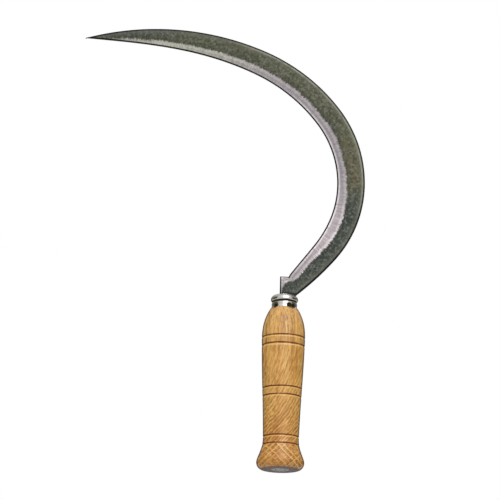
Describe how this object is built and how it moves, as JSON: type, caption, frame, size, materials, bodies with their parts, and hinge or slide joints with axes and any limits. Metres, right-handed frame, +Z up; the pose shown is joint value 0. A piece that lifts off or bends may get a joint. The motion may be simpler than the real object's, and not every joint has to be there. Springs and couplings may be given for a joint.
{
  "type": "hand sickle",
  "caption": "Hand sickle with a forged crescent blade, square heel spur, pressed steel ferrule and turned beech handle with a flared pommel and burnt line decoration.",
  "frame": {"origin": "centre of the flat end of the pommel, where the riveted tang is flush with the washer", "axes": "+Z up the handle's axis towards the blade, blade plane XZ, +X towards the blade's thick back beside the handle, ground face of the blade towards -Y"},
  "size_m": [0.2372, 0.039, 0.3722],
  "materials": {
    "blade_steel": "dark scaled forging with a bright cross-ground bevel",
    "plated_ferrule": "bright plated pressed sheet, lightly scuffed",
    "varnished_beech": "clear varnished turned beech with burnt lines",
    "washer_steel": "plain dull steel"
  },
  "bodies": {
    "root": {"blade": "blade_steel", "ferrule": "plated_ferrule", "handle": "varnished_beech", "tang_washer": "washer_steel"}
  },
  "joints": []
}
